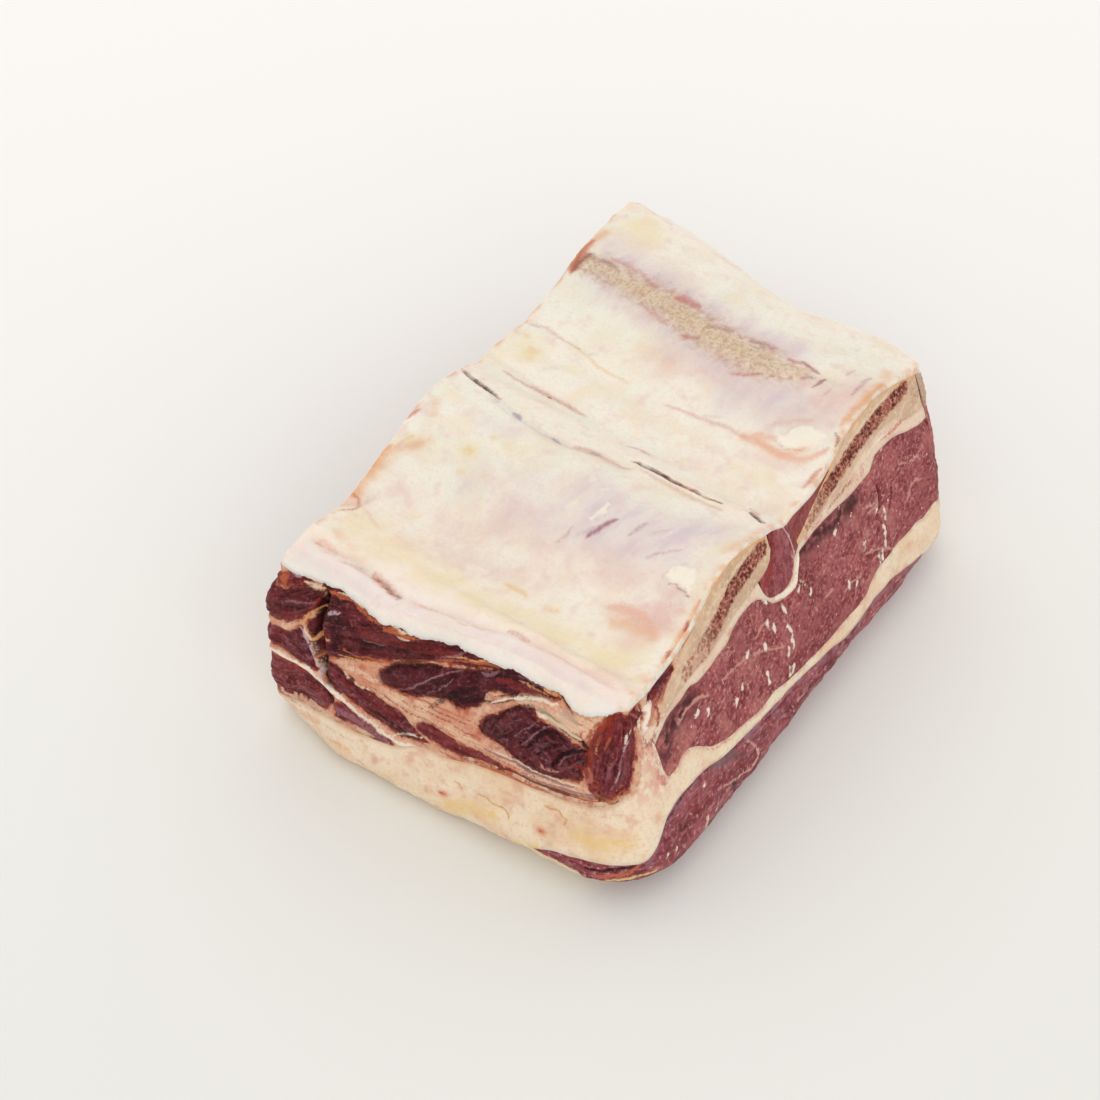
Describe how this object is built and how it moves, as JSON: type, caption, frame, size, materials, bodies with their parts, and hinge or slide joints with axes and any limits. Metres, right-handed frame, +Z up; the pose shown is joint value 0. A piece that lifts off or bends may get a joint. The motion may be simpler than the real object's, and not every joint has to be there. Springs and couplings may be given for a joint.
{
  "type": "raw beef short ribs",
  "caption": "Block of raw beef short ribs, sawn across flat rib bones, with a pale sheet of membrane and fat on top and layers of muscle and fat below.",
  "frame": {"origin": "under the middle of the block's box, on the surface it lies on", "axes": "+X along the ribs towards the sawn end with the lower, bulging foot; +Y across the ribs; +Z up"},
  "size_m": [0.1186, 0.1748, 0.0636],
  "materials": {
    "top_sheet": "moist membrane over fat, satin",
    "bone": "sawn bone with open marrow, matte",
    "front_muscle": "knife-cut muscle, dried at the edges, moist",
    "cut_muscle": "sawn muscle with pale flecks, moist",
    "fat": "firm fat, waxy",
    "base_muscle": "muscle with thin membrane, moist"
  },
  "bodies": {
    "root": {"top_sheet": "top_sheet", "rib_bone_front": "bone", "rib_bone_back": "bone", "front_muscle": "front_muscle", "middle_muscle": "cut_muscle", "rib_fat": "fat", "main_muscle": "cut_muscle", "fat_seam": "fat", "base_muscle": "base_muscle"}
  },
  "joints": []
}
